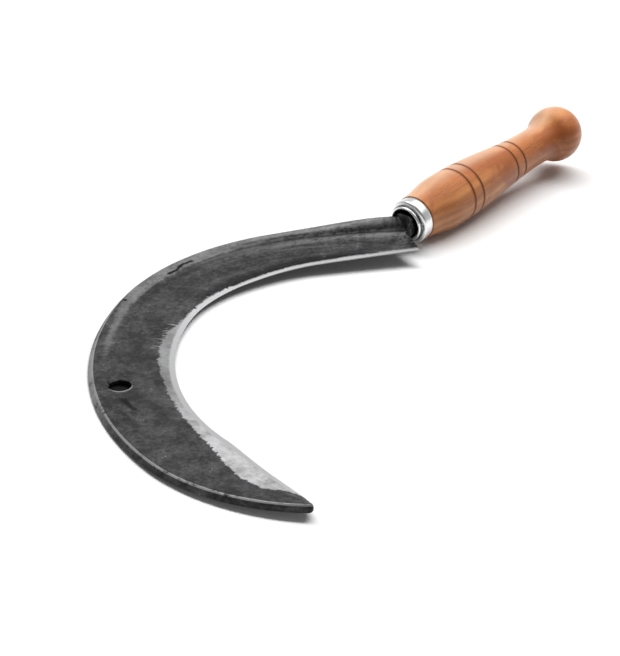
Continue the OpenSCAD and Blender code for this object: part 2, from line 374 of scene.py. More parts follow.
def blade_point(s, v, z):
    """A point s along the back, v in from it and z above the underside."""
    x, y, heading = back_pose(max(s, 0))
    slant = HEEL_SLANT * (1 - share(s, 0, SLANT_LEN)) ** 2
    return Vector((x - v * sin(heading) - slant * v * cos(heading),
                   y + v * cos(heading) - slant * v * sin(heading), z))


print("the back is", round(BACK_LEN, 1), "mm long")

# %% Place of the drawing on the table
HOLE_ALONG, HOLE_IN, HOLE_UP = 289, 13.8, 1.79
MOUTH_H, HANDLE_RISE, HANDLE_TURN = 5.7, 1.6, 49.5
hole = frame["record"]["mounts"][0]
lean = Vector((0, 0, 1)).rotation_difference(Vector(hole["axis"])).to_matrix().to_4x4()
from_hole = lean @ (blade_point(HOLE_ALONG, HOLE_IN, HOLE_UP) * MM)
placed = Matrix.Translation(Vector(hole["pos_m"]) - from_hole) @ lean


def mouth_frame(unit):
    """From the handle's own directions, z along it, to the drawing, in units of this size."""
    return (Matrix.Translation((0, 0, MOUTH_H * unit))
            @ Matrix.Rotation(radians(HANDLE_TURN), 4, "Z")
            @ Matrix.Rotation(radians(90 - HANDLE_RISE), 4, "Y"))


handle_drawn = mouth_frame(1)
handle_frame = placed @ mouth_frame(MM)
print("mouth of the ferrule at", [round(x / MM, 2) for x in handle_frame.translation], "mm")

# %% Shade under the hanging hole
# The photographed hole looks black, so a dark disc of painted shade lies on the table under
# it, out of sight from almost anywhere else.
SHADE_R, SHADE_UP = 8, 0.05
SHADE_DISC_BLACK = (0.012, 0.012, 0.013)
shade_mesh = bmesh.new()
bmesh.ops.create_circle(shade_mesh, cap_ends=True, radius=SHADE_R * MM, segments=48)
under_hole = (hole["pos_m"][0], hole["pos_m"][1], SHADE_UP * MM)
bmesh.ops.translate(shade_mesh, verts=shade_mesh.verts, vec=under_hole)
shade_disc = object_from(shade_mesh, "shade_disc")
shade_paint, tree, shader = new_material("painted_shade_black")
set_shader(tree, shader, Base_Color=SHADE_DISC_BLACK, **DULL)
shade_disc.data.materials.append(shade_paint)
print("disc of", SHADE_R, "mm under the hole")

# %% Helpers that finish a mesh
SHARP = radians(38)


def closed_up(bm):
    """Merges doubles, points the faces outwards and marks the sharp edges."""
    bmesh.ops.remove_doubles(bm, verts=bm.verts, dist=1e-5)
    bmesh.ops.recalc_face_normals(bm, faces=bm.faces)
    for face in bm.faces:
        face.smooth = True
    for edge in bm.edges:
        edge.smooth = not (len(edge.link_faces) == 2 and edge.calc_face_angle(0) > SHARP)


def piece_from(bm, name, place):
    """Turns a mesh in millimetres into an object in metres, with its place in its mesh."""
    bmesh.ops.transform(bm, matrix=place @ Matrix.Scale(MM, 4), verts=bm.verts)
    return object_from(bm, name)


def compare(made, node):
    """Prints how far the piece's box stands from the box of the node it replaces."""
    low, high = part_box(node)
    points = [vert.co for vert in made.data.vertices]
    for k, axis in enumerate("xyz"):
        below = min(p[k] for p in points) - low[k]
        above = max(p[k] for p in points) - high[k]
        print(node, axis, "low", round(below / MM, 2), "high", round(above / MM, 2))
    print(node, "has", len(made.data.polygons), "faces")


print("edges over", round(SHARP * 180 / pi), "degrees stay sharp")

# %% [markdown]
# ## The blade: its section
# A sickle's blade is one long forging. Its back is a thick rib, its plate is thin, and the
# edge is ground from above. Cut across, it has eleven corners, and every one of them moves
# as the blade runs from the heel to the point. A smith's tools leave no sharp corner, so
# each corner becomes a short curve of five points, and the long flats get points between,
# so that they can be a little uneven. The count of points never changes, which is what
# lets one grid wrap the whole blade.

# %% Widths
HEEL_W, BEND_W, BELLY_W, TIP_W = 28.5, 46, 43.8, 3
HEEL_LEN, NARROW_FROM, NARROW_LEN, TIP_LEN = 120, 130, 95, 90
# Powers that say how soon the heel widens, and how full and how blunt the point is
HEEL_POWER, TIP_FULL, TIP_BLUNT = 1.8, 1.7, 0.7
# Width of the ground bevel along the blade, in millimetres
GRIND = [(0, 2.6), (30, 3.4), (128, 3.6), (160, 6), (183, 6.4), (213, 7.5), (241, 9), (283, 7.6),
         (318, 7), (356, 8.5), (380, 10.7), (404, 14.4), (422, 16.5), (439, 15), (456, 9), (469, 5)]


def body_w(s):
    """Width of the blade before the point takes it in."""
    if s < NARROW_FROM:
        return mix(HEEL_W, BEND_W, 1 - (1 - share(s, 0, HEEL_LEN)) ** HEEL_POWER)
    return mix(BEND_W, BELLY_W, ease(share(s, NARROW_FROM, NARROW_FROM + NARROW_LEN)))


def width(s):
    """Width of the blade, s millimetres from the heel."""
    t = share(s, BACK_LEN - TIP_LEN, BACK_LEN)
    return mix(TIP_W, body_w(s), (1 - t ** TIP_FULL) ** TIP_BLUNT)


for s in (0, HEEL_LEN, 300, BACK_LEN):
    print("at", round(s), "mm the blade is", round(width(s), 1), "mm wide")

# %% Corners of the section
CROWN_H, ROOT_H, ROOT_LEN, CROWN_W, CROWN_FALL = 4, 9.5, 75, 3.5, 0.2
RIB_W, PLATE_T, SHOULDER_T, EDGE_T = 10, 3, 1.9, 0.5
CHAMFER, FLARE, RIDGE_H, RIDGE_IN, RIDGE_LEN = 0.8, 2.3, 1.9, 17, 130
# The rib's slope: its upper bend as a share of its width, and the heights of both bends as
# shares of its height
FLANK_IN, FLANK_UP, FOOT_UP = 0.8, 0.56, 0.16
# At the heel the rib and the second ridge are drawn in towards the back
RIB_DRAWN, RIDGE_DRAWN = 1.6, 4.0
# Near the point, where the blade is narrow, every corner keeps to its share of the width
CUT_MOST, OUT_MOST, CROWN_MOST = 0.15, 0.3, 0.3
FLANK_MOST, FOOT_MOST, RIDGE_MOST, SHOULDER_LEAST = 0.45, 0.55, 0.65, 0.7


def corners(s):
    """The eleven corners: v in from the back and z above the underside."""
    w = width(s)
    top = mix(ROOT_H, CROWN_H, ease(share(s, 0, ROOT_LEN)))
    heel = 1 - ease(share(s, 0, RIDGE_LEN))
    cut = min(CHAMFER, w * CUT_MOST)
    out = min(FLARE * ease(share(s, 0, ROOT_LEN)), w * OUT_MOST)
    crown_v = min(CROWN_W, w * CROWN_MOST)
    flank_v = min(RIB_W * FLANK_IN - RIB_DRAWN * heel, w * FLANK_MOST)
    foot_v = min(RIB_W - RIB_DRAWN * heel, w * FOOT_MOST)
    ridge_v = min(RIDGE_IN - RIDGE_DRAWN * heel, w * RIDGE_MOST)
    shoulder_v = max(w - along(s, GRIND), w * SHOULDER_LEAST)
    plate_z = mix(PLATE_T, SHOULDER_T, share(ridge_v, foot_v, shoulder_v))
    return [(cut - out, 0), (w, 0), (w, EDGE_T), (shoulder_v, SHOULDER_T),
            (ridge_v, plate_z + RIDGE_H * heel), (foot_v, mix(PLATE_T, top, FOOT_UP)),
            (flank_v, mix(PLATE_T, top, FLANK_UP)), (crown_v, top - CROWN_FALL),
            (cut, top), (0, top - cut), (-out, cut)]


print("corners at the heel", [(round(v, 1), round(z, 1)) for v, z in corners(0)])

# %% Section with rounded corners
# How far each corner's curve reaches along its sides, and the points on the side after it
CUT = [0.45, 0.12, 0.1, 0.3, 4.0, 1.3, 1.2, 1.2, 0.45, 0.5, 0.5]
SPAN = [26, 0, 9, 17, 4, 1, 4, 2, 0, 2, 0]
# Spans in a curve, and the largest share of a side that a curve may take
ARC, SIDE_MOST = 4, 0.45
# A corner's own curve takes this much of the count from one corner to the next
CURVE_SHARE = 0.2
# Counts round the section: where the top begins and ends, and the second ridge
TOP_FROM, RIDGE_AT, TOP_TO = 1.5, 4, 8.5


def towards(corner, other, i):
    """Where corner i's curve starts on the side to another corner."""
    side = other - corner
    return corner + side * min(SIDE_MOST, CUT[i] / max(side.length, 1e-6))


def ring(s):
    """The section with rounded corners: a list of (v, z, count round the corners)."""
    points = [Vector(p) for p in corners(s)]
    made = []
    for i, p in enumerate(points):
        after = (i + 1) % len(points)
        a, b = towards(p, points[i - 1], i), towards(p, points[after], i)
        for k in range(ARC + 1):
            t = k / ARC
            q = a * (1 - t) ** 2 + p * 2 * t * (1 - t) + b * t ** 2
            made.append((q.x, q.y, i + (t - 0.5) * CURVE_SHARE))
        side_end = towards(points[after], p, after)
        for k in range(SPAN[i]):
            t = (k + 1) / (SPAN[i] + 1)
            q = b.lerp(side_end, t)
            made.append((q.x, q.y, i + CURVE_SHARE / 2 + (1 - CURVE_SHARE) * t))
    return made


RING_N = len(ring(100))
print("the section has", RING_N, "points")

# %% [markdown]
# ## The blade: one grid wrapped round it
# A long strip could be made by bridging many loops, but a single grid is simpler: its rows
# become stations along the blade and its columns the points of the section. Rows before
# the heel turn into the neck and the tang, which the same forging is drawn out to. The
# hammer's work is a slight unevenness, always inwards, so the blade keeps its size.

# %% Tang
MOUTH_W, MOUTH_D, MOUTH_ROUND = 14, 12.5, 4.5
TANG_SIDE, TANG_END, TANG_LEN, ROOT_TAPER, TANG_ROUND = 8, 3.6, 96, 14, 0.5
# The neck grows out of the heel's section, cut off just past the second ridge. The pull
# says how far it keeps its direction at both ends, as a share of its length.
NECK_W, NECK_SIDE_H, NECK_PULL = 13.5, PLATE_T + RIDGE_H - 0.4, 0.7


def rounded_box(t, deep, wide, corner):
    """A point on a rounded box round the handle's axis; t runs 0 to 4, a side for each one."""
    side, u = int(t) % 4, t - int(t)
    half = [Vector((deep / 2, wide / 2)), Vector((deep / 2, -wide / 2)),
            Vector((-deep / 2, -wide / 2)), Vector((-deep / 2, wide / 2))]
    q = half[side].lerp(half[(side + 1) % 4], u)
    inner = Vector((min(max(q.x, corner - deep / 2), deep / 2 - corner),
                    min(max(q.y, corner - wide / 2), wide / 2 - corner)))
    away = q - inner
    if away.length > 1e-6 and abs(away.x) > 1e-6 and abs(away.y) > 1e-6:
        q = inner + away.normalized() * corner
    return q


def neck_ring():
    """The heel's section cut off just past the second ridge."""
    made = []
    for v, z, at in ring(0):
        if v > NECK_W:
            v, z = NECK_W, mix(EDGE_T, NECK_SIDE_H, share(at, 0.5, 4.5))
        made.append((v, z, at))
    return made


def round_shares(points):
    """Shares of the way round, 0 to 4, with the box's corners at the ring's own corners."""
    marks = [i for i, (v, z, at) in enumerate(points) if v >= NECK_W]
    first, last = marks[0], marks[-1]
    crown = min(range(len(points)), key=lambda i: abs(points[i][2] - TOP_TO))
    shares = []
    for side, (a, b) in enumerate([(0, first), (first, last), (last, crown), (crown, len(points))]):
        run = [0.0]
        for k in range(a, b):
            p, q = points[k], points[(k + 1) % len(points)]
            run.append(run[-1] + sqrt((p[0] - q[0]) ** 2 + (p[1] - q[1]) ** 2))
        shares += [side + reached / run[-1] for reached in run[:-1]]
    return shares


start_ring = neck_ring()
start_shares = round_shares(start_ring)


def tang_point(j, x, deep, wide, corner):
    """Point j of a rounded box round the tang, x millimetres inside the mouth."""
    q = rounded_box(start_shares[j], deep, wide, corner)
    return handle_drawn @ Vector((q.x, q.y, x))


print("the tang goes", TANG_LEN, "mm into the handle")

# %% Neck
def neck_point(j, t):
    """Point j of the neck, where t is 0 at the heel and 1 in the ferrule's mouth."""
    v, z, at = start_ring[j]
    a = blade_point(0, v, z)
    b = tang_point(j, 0, MOUTH_D, MOUTH_W, MOUTH_ROUND)
    heading = back_pose(0)[2]
    pull = (b - a).length * NECK_PULL
    leave = Vector((-cos(heading), -sin(heading), 0)) * pull
    arrive = (handle_drawn.to_3x3() @ Vector((0, 0, 1))) * pull
    return (a * (1 + 2 * t) * (1 - t) ** 2 + leave * t * (1 - t) ** 2
            + b * t * t * (3 - 2 * t) - arrive * t * t * (1 - t))


print("middle of the neck at", [round(x, 1) for x in neck_point(0, 0.5)], "mm")

# %% Hammer marks and other unevenness
NICK_AT, NICK_HALF, NICK_DEEP = 189, 1.6, 0.35
BROAD_DEEP, FINE_DEEP, GROUND_DEEP = 0.13, 0.05, 0.03
# Length and width of one broad and one fine dent
BROAD_LEN, BROAD_W, FINE_LEN, FINE_W = 13, 9, 4, 3.5
# Counts round the section where the bevel and the back lie
BEVEL_FROM, BEVEL_TO, BACK_FROM, BACK_TO = 1.6, 3.0, 7.5, 9.7
# No dent is deeper than this share of the blade's width
DEEPEST = 0.02


def uneven(s, v, at):
    """How deep the surface is sunk here, in millimetres."""
    ground = BEVEL_FROM < at < BEVEL_TO and v > width(s) - along(s, GRIND)
    broad = 0.5 + 0.5 * noise.noise(Vector((s / BROAD_LEN, v / BROAD_W, at)))
    fine = 0.5 + 0.5 * noise.noise(Vector((s / FINE_LEN, v / FINE_W, at + 7)))
    depth = GROUND_DEEP * fine if ground else BROAD_DEEP * broad + FINE_DEEP * fine
    nick = exp(-((s - NICK_AT) / NICK_HALF) ** 2) if BACK_FROM < at < BACK_TO else 0
    return depth + NICK_DEEP * nick


def sunk(points, s):
    """Moves each point of a ring inwards by its unevenness."""
    made = []
    for i, (v, z, at) in enumerate(points):
        a, b = points[i - 1], points[(i + 1) % len(points)]
        t = Vector((b[0] - a[0], b[1] - a[1]))
        inward = Vector((-t.y, t.x)).normalized() if t.length > 1e-6 else Vector((0, 0))
        q = Vector((v, z)) + inward * min(uneven(s, v, at), DEEPEST * width(s))
        made.append((q.x, q.y, at))
    return made


print("deepest mark", round(max(uneven(s, 5, 8) for s in range(400)), 2), "mm")

# %% Rows of the grid
TANG_STEPS = [3.0, 7.0, 14.0, 40.0, 70.0, 96.0]
NECK_ROWS, BLADE_ROWS = 14, 400
# Rows before the heel are marked by distances below zero: the neck's down to the first of
# these, and the tang's below the second
NECK_MARK, TANG_MARK = -14, -20
# The blunt end of the point: its length, and how far it is taken in
BLUNT_LEN, BLUNT_IN = 1.2, 0.35
# The rows stand closer towards the point, by how far this share is under 1
EVEN_SHARE = 0.55


def tang_row(x):
    """A row of the tang, which is drawn in quickly at its root and then tapers."""
    t = share(x, 0, ROOT_TAPER)
    deep, wide = mix(MOUTH_D, TANG_SIDE, t), mix(MOUTH_W, TANG_SIDE, t)
    corner = mix(MOUTH_ROUND, TANG_ROUND, t)
    if x > ROOT_TAPER:
        deep = wide = mix(TANG_SIDE, TANG_END, share(x, ROOT_TAPER, TANG_LEN))
    return [tang_point(j, x, deep, wide, corner) for j in range(RING_N)]


def blade_row(s):
    """A row of the blade and its section, s along the back."""
    section = sunk(ring(s), s)
    near_tip = share(s, BACK_LEN - BLUNT_LEN, BACK_LEN)
    size = 1 - BLUNT_IN * (1 - sqrt(1 - near_tip ** 2))
    mid_v = sum(p[0] for p in section) / RING_N
    mid_z = sum(p[1] for p in section) / RING_N
    section = [(mix(mid_v, v, size), mix(mid_z, z, size), at) for v, z, at in section]
    return [blade_point(s, v, z) for v, z, at in section], section


rows = [(TANG_MARK - x, tang_row(x), start_ring) for x in reversed(TANG_STEPS)]
for i in range(NECK_ROWS + 1):
    t = 1 - i / NECK_ROWS
    rows.append((NECK_MARK * t - 0.01, [neck_point(j, t) for j in range(RING_N)], start_ring))
for i in range(BLADE_ROWS + 1):
    t = i / BLADE_ROWS
    s = BACK_LEN * (EVEN_SHARE * t + (1 - EVEN_SHARE) * sin(t * pi / 2))
    rows.append((s, *blade_row(s)))
print(len(rows), "rows of", RING_N, "points")

# %% [markdown]
# The finish has to know where on the blade it is: how far from the edge, from the ground
# bevel and from the rib. The shape is known best while the grid is wrapped, so each vertex
# keeps these distances then, as attributes that a material can read. The way along and
# across the blade is kept as a UV map, in metres.

# %% What each vertex keeps
# How much of the outer corner of the back is polished by handling and painted with a highlight, along the
# blade
CORNER_WEAR_AND_HIGHLIGHT = [(0, 0.2), (60, 0.2), (190, 0.3), (215, 1), (455, 1), (467, 0.8)]
# How much of the side of the back is rubbed grey
SIDE_WORN = [(225, 0), (250, 0.75), (290, 0.75), (340, 0)]
# How much painted highlight lies on the second ridge near the heel
RIDGE_HIGHLIGHT = [(30, 0.55), (RIDGE_LEN, 0)]
# Counts round the section: the outer corner of the back, its side, and a ridge's half width
CORNER_FROM, CORNER_TO, SIDE_TO, RIDGE_HALF = 7.97, 9.02, 10.3, 0.09
# How far bare steel reaches past the ground bevel, or below zero, how far the scale covers it
RAGGED_END = [(0, -1.0), (6, -1.0), (120, -1.5), (150, -1.8), (185, -3.4), (207, -3), (228, 0),
              (440, 0), (457, -6), (469, -9)]
# The rib's paler band: where it starts, what it leaves of the rib, and how it closes
BAND_START = [(140, -5), (215, 5.2)]
BAND_LEAVES = [(150, 0.7), (190, 1.7)]
BAND_CLOSES = [(255, 0), (300, 12)]
# The valley between rib and second ridge, painted dark as shade: its middle, its half width and how it
# fades out
VALLEY_IN, VALLEY_HALF, VALLEY_FADES = 7.9, 2.7, [(60, 1), (140, 0)]
# Values for places that the edge, the bevel and the rib don't reach
FAR_FROM_EDGE, UNDER_GRIND, OFF_RIB = 20, 1.6, -5


def rib_reach(s, v):
    """How far inside the rib's paler band a point lies, in millimetres."""
    band_end = min(RIB_W, width(max(s, 0)) / 2) - along(s, BAND_LEAVES)
    return min(band_end - v, v - along(s, BAND_START)) - along(s, BAND_CLOSES)


def wear_and_highlight(s, at):
    """How much the steel here is made paler: polished by handling, with a painted highlight on the back's
    corner and on the second ridge.
    """
    paler = 0
    if CORNER_FROM < at < CORNER_TO:
        paler = along(s, CORNER_WEAR_AND_HIGHLIGHT)
    elif CORNER_TO <= at < SIDE_TO:
        paler = along(s, SIDE_WORN)
    # The second ridge near the heel gets a painted highlight
    if s >= 0:
        paler += exp(-((at - RIDGE_AT) / RIDGE_HALF) ** 2) * along(s, RIDGE_HIGHLIGHT)
    return paler


def kept_at(s, v, at):
    """The attributes of one vertex: distances in millimetres and shares from 0 to 1."""
    on_top = TOP_FROM < at < TOP_TO
    edge_in = width(s) - v if s >= 0 else FAR_FROM_EDGE
    grind = along(max(s, 0), GRIND) if on_top else UNDER_GRIND
    in_valley = exp(-((v - VALLEY_IN) / VALLEY_HALF) ** 4) * along(s, VALLEY_FADES)
    return {"ground_in": grind - edge_in + along(s, RAGGED_END),
            "edge_in": edge_in,
            "rib_in": rib_reach(s, v) if at > TOP_FROM else OFF_RIB,
            "worn": wear_and_highlight(s, at),
            "valley_shade": in_valley if on_top else 0}


print("in the valley", {key: round(value, 2) for key, value in kept_at(30, 8, 5.5).items()})

# %% Wrap the grid
blade_mesh = bmesh.new()
bmesh.ops.create_grid(blade_mesh, x_segments=len(rows) - 1, y_segments=RING_N, size=1,
                      calc_uvs=False)
blade_map = blade_mesh.loops.layers.uv.new("blade_map")
layers = {name: blade_mesh.verts.layers.float.new(name) for name in kept_at(0, 0, 0)}
grid_place = {}
for vert in blade_mesh.verts:
    i = round((vert.co.x + 1) / 2 * (len(rows) - 1))
    j = round((vert.co.y + 1) / 2 * RING_N) % RING_N
    s, points, section = rows[i]
    v, z, at = section[j]
    grid_place[vert] = (s, v)
    for name, value in kept_at(s, v, at).items():
        vert[layers[name]] = value
    vert.co = points[j]
for face in blade_mesh.faces:
    for loop in face.loops:
        s, v = grid_place[loop.vert]
        loop[blade_map].uv = (s * MM, v * MM)
print(len(blade_mesh.verts), "vertices wrapped round")

# %% Close it and smooth the neck
# The neck is smoothed together with a little of the heel: so far along, and so far in
SMOOTH_ALONG, SMOOTH_IN = 10, 20
SMOOTH_TURNS = 14
bmesh.ops.remove_doubles(blade_mesh, verts=blade_mesh.verts, dist=1e-4)
ends = [edge for edge in blade_mesh.edges if edge.is_boundary]
bmesh.ops.holes_fill(blade_mesh, edges=ends, sides=0)
neck = [vert for vert, (s, v) in grid_place.items()
        if vert.is_valid and NECK_MARK + 0.1 < s < SMOOTH_ALONG and v < SMOOTH_IN]
for _ in range(SMOOTH_TURNS):
    bmesh.ops.smooth_vert(blade_mesh, verts=neck, factor=0.5,
                          use_axis_x=True, use_axis_y=True, use_axis_z=True)
closed_up(blade_mesh)
print("open edges left:", sum(edge.is_boundary for edge in blade_mesh.edges))

# %% [markdown]
# ## The blade: its hanging hole
# The hole is punched, so its rim is slightly rounded. A cutter of that shape, a rod with a
# flare at the top face of the blade and one at the underside, is turned with a spin and
# taken away from the blade with a Boolean modifier, which is then made part of the mesh.

# %% Turning on a lathe
def turned(outline, name, place, steps, closed=False):
    """Spins an outline of (radius, height) once round the z axis."""
    bm = bmesh.new()
    chain = [bm.verts.new((r, 0, z)) for r, z in outline]
    pairs = list(zip(chain, chain[1:])) + ([(chain[-1], chain[0])] if closed else [])
    for a, b in pairs:
        bm.edges.new((a, b))
    bmesh.ops.spin(bm, geom=bm.verts[:] + bm.edges[:], cent=(0, 0, 0), axis=(0, 0, 1),
                   angle=2 * pi, steps=steps, use_merge=True)
    closed_up(bm)
    return piece_from(bm, name, place)


print("the lathe is ready")

# %% Hanging hole
HOLE_R, RIM, FLARE_AT, FLARE_TO = 6, 0.35, 2.15, 2.55
blade = piece_from(blade_mesh, "blade_forged", placed)
outline = [(0, -3), (HOLE_R + 3, -3), (HOLE_R + RIM, 0), (HOLE_R, RIM),
           (HOLE_R, FLARE_AT), (HOLE_R + RIM, FLARE_TO), (HOLE_R + 5, 7), (0, 7)]
hole_frame = placed @ Matrix.Translation(blade_point(HOLE_ALONG, HOLE_IN, 0) * MM)
cutter = turned(outline, "hole_cutter", hole_frame, 64)
cut = blade.modifiers.new("hole", "BOOLEAN")
cut.operation, cut.object, cut.solver = "DIFFERENCE", cutter, "EXACT"
bpy.context.view_layer.update()
in_view = blade.evaluated_get(bpy.context.evaluated_depsgraph_get())
pierced = bpy.data.meshes.new_from_object(in_view)
blade.modifiers.clear()
blade.data = pierced
pierced.name = "blade_forged"
bpy.data.objects.remove(cutter)
compare(blade, "blade")

# %% [markdown]
# ## The blade's finish
# Forged steel keeps a dark skin of scale, mottled and a little streaky along the blade.
# Where a grinding wheel has passed it is bare, grey and finely scratched across the edge,
# and the border between the two is ragged, because the wheel touches the high spots
# first. The very edge is honed and brighter still. The crown of the back is paler, and its
# outer corner is polished by handling and also gets a painted highlight, as does the second
# ridge near the heel and the lower rim of the hanging hole. The neck and the valley beside
# the rib are painted dark as shade. The borders follow the blade, so they are kept on the
# mesh as distances in millimetres, and noise in the material breaks them up.

# %% Noises of the steel
forged, tree, shader = new_material("forged_steel")
place = object_position(tree)
strip = add(tree, "UVMap", {"uv_map": "blade_map"}).outputs["UV"]
from_heel = add(tree, "SeparateXYZ", Vector=strip).outputs["X"]
mottle = grain(tree, place, 100, 7, 0.66)
blotches = grain(tree, place, 28, 3, 0.5)
fine = grain(tree, place, 420, 4, 0.7)
specks = grain(tree, place, 900, 3, 0.6)
frost = grain(tree, place, 900, 2, 0.6)
# These are drawn out along or across the blade
streaks = grain(tree, stretched(tree, strip, 14, 260, 1), 1, 6, 0.62, 0.4)
teeth = grain(tree, stretched(tree, strip, 190, 70, 1), 1, 5, 0.7, 0.4)
spikes = grain(tree, stretched(tree, strip, 520, 60, 1), 1, 3, 0.5, 0.3)
lines = grain(tree, stretched(tree, strip, 1900, 110, 1), 1, 4, 0.62)


def kept(tree, name):
    """What the vertices keep under this name."""
    return add(tree, "Attribute", {"attribute_name": name}).outputs["Fac"]


print("nine noises for the steel")

# %% Scale
SCALE_DARK, SCALE_PALE = (0.032, 0.032, 0.033), (0.088, 0.087, 0.09)
SCALE_STREAK, SCUFF_AND_RIM_HIGHLIGHT, PITTED = (0.14, 0.139, 0.142), (0.3, 0.3, 0.305), (0.008, 0.008, 0.009)
# This stretch, and those below, is where one look gives way to another, in metres from the heel
STREAKS_END = (0.1, 0.24)
near_heel = fade(tree, from_heel, *STREAKS_END)
cloud = between(tree, times_plus(tree, near_heel, 0.4, 0.1), mottle, streaks)
cloud = plus(tree, cloud, push(tree, blotches, 0.2))
cloud = plus(tree, cloud, push(tree, fine, 0.7))
scale_tone = step(tree, cloud, 0.32, 0.7)
scale = blended(tree, scale_tone, SCALE_DARK, SCALE_PALE)
heel_streaks = times(tree, near_heel, step(tree, streaks, 0.52, 0.75))
scale = blended(tree, heel_streaks, scale, SCALE_STREAK)
scuffs = times(tree, step(tree, mottle, 0.55, 0.7), step(tree, specks, 0.55, 0.68))
scale = blended(tree, scuffs, scale, SCUFF_AND_RIM_HIGHLIGHT)
scale = blended(tree, fade(tree, specks, 0.26, 0.38), scale, PITTED)
print("scale from", SCALE_DARK[0], "to", SCALE_PALE[0])

# %% Rib, shaded neck and valley, and rubbed and highlit places
RIB_DARK, RIB_PALE = (0.14, 0.14, 0.141), (0.27, 0.27, 0.272)
NECK_SHADE_DARK, NECK_SHADE_PALE = (0.006, 0.006, 0.006), (0.13, 0.13, 0.131)
VALLEY_SHADE_DARK, RUBBED_AND_HIGHLIT = (0.006, 0.006, 0.007), (0.36, 0.36, 0.365)
NECK_END, HEEL_CORNER, FAR_ARM_END, RIB_DULLS = (-0.004, 0.014), (0.004, 0.035), (0.12, 0.2), (0.17, 0.29)
border_push = push(tree, mottle, 3.5)
on_rib = step(tree, plus(tree, kept(tree, "rib_in"), border_push), -1.3, 1.4)
rib = blended(tree, step(tree, cloud, 0.32, 0.68), RIB_DARK, RIB_PALE)
rib = blended(tree, times(tree, step(tree, from_heel, *RIB_DULLS), 0.85), rib, scale)
skin = blended(tree, on_rib, scale, rib)

# The neck going into the ferrule is painted dark as shade, mottled like the scale
neck_tone = step(tree, plus(tree, fine, mottle), 0.8, 1.2)
neck_shade_colour = blended(tree, neck_tone, NECK_SHADE_DARK, NECK_SHADE_PALE)
skin = blended(tree, fade(tree, from_heel, *NECK_END), skin, neck_shade_colour)

# The valley between rib and second ridge is painted dark as shade, with streaks where the shade breaks
valley_shade = kept(tree, "valley_shade")
shade_breaks = times(tree, valley_shade, step(tree, plus(tree, streaks, fine), 0.7, 1.05))
skin = blended(tree, times_plus(tree, shade_breaks, -0.3, valley_shade), skin, VALLEY_SHADE_DARK)
# The back's corner is polished by handling and painted with a highlight, the second ridge gets a painted
# highlight, and the side is rubbed grey
worn_and_highlit_bits = times(tree, kept(tree, "worn"), step(tree, plus(tree, mottle, fine), 0.7, 1.0))
skin = blended(tree, worn_and_highlit_bits, skin, RUBBED_AND_HIGHLIT)

# The dark band beside the bevel of the far arm fades this far from the edge, in millimetres
EDGE_BAND = (5.0, 10.0)
near_edge = fade(tree, plus(tree, kept(tree, "edge_in"), border_push), *EDGE_BAND)
near_edge = times(tree, near_edge, fade(tree, from_heel, *FAR_ARM_END))
near_edge = times(tree, near_edge, step(tree, from_heel, *HEEL_CORNER))
skin = blended(tree, times(tree, near_edge, 0.8), skin, PITTED)
print("rib from", RIB_DARK[0], "to", RIB_PALE[0])

# %% Marks of use
MARK_BLACK = (0.003, 0.003, 0.003)


def line_mark(tree, points, half_width):
    """A mask along a bent line on the blade, from points (s, v) in millimetres."""
    nearest = 1.0
    for (x0, y0), (x1, y1) in zip(points, points[1:]):
        start, run = (x0 * MM, y0 * MM, 0), ((x1 - x0) * MM, (y1 - y0) * MM, 0)
        to_point = vectors(tree, "SUBTRACT", strip, start)["Vector"]
        t = vectors(tree, "DOT_PRODUCT", to_point, run)["Value"]
        t = maths(tree, "DIVIDE", t, run[0] ** 2 + run[1] ** 2, clamp=True)
        foot = add(tree, "VectorMath", {"operation": "SCALE"}, i0=run, Scale=t).outputs["Vector"]
        away = vectors(tree, "DISTANCE", to_point, foot)["Value"]
        nearest = maths(tree, "MINIMUM", nearest, away)
    shaky = plus(tree, nearest, push(tree, fine, 1.6 * half_width * MM))
    return fade(tree, shaky, 0.3 * half_width * MM, half_width * MM)


# The lower rim of the hole gets a painted highlight: the hole leaves a crescent of a pale disc, which
# lies a little off the hole's middle, in millimetres, and fades at its edge, in metres
RIM_ALONG, RIM_IN, RIM_FADES = 1.8, -0.2, (0.0062, 0.0068)
rim_mid = ((HOLE_ALONG + RIM_ALONG) * MM, (HOLE_IN + RIM_IN) * MM, 0)
from_rim = vectors(tree, "DISTANCE", strip, rim_mid)["Value"]
skin = blended(tree, fade(tree, from_rim, *RIM_FADES), skin, SCUFF_AND_RIM_HIGHLIGHT)
slit = line_mark(tree, [(150, 7.2), (144.5, 8), (136.5, 5.7), (129.5, 5.7)], 1.5)
nick = line_mark(tree, [(188, -3), (190, 2.5)], 1.6)
scratch = line_mark(tree, [(305, 12.6), (312, 14.2), (319, 15.6)], 2.2)
spot = line_mark(tree, [(325, 9.9), (328, 9.3)], 2.6)
marks = larger(tree, larger(tree, slit, nick), times(tree, scratch, 0.85))
marks = larger(tree, marks, times(tree, spot, 0.4))
skin = blended(tree, marks, skin, MARK_BLACK)
print("slit, nick, scratch and spot marked")

# %% Ground bevel
BARE_DARK, BARE_PALE, BARE_DULL = (0.34, 0.34, 0.345), (0.76, 0.76, 0.77), (0.1, 0.1, 0.102)
HONED_HEEL, HONED_EDGE = (0.38, 0.38, 0.385), (0.63, 0.63, 0.64)
RAGGED_GROWS, SPIKES_START, SPIKES_END = (0.11, 0.17), (0.19, 0.215), (0.24, 0.27)
DULLNESS_END = (0.29, 0.37)
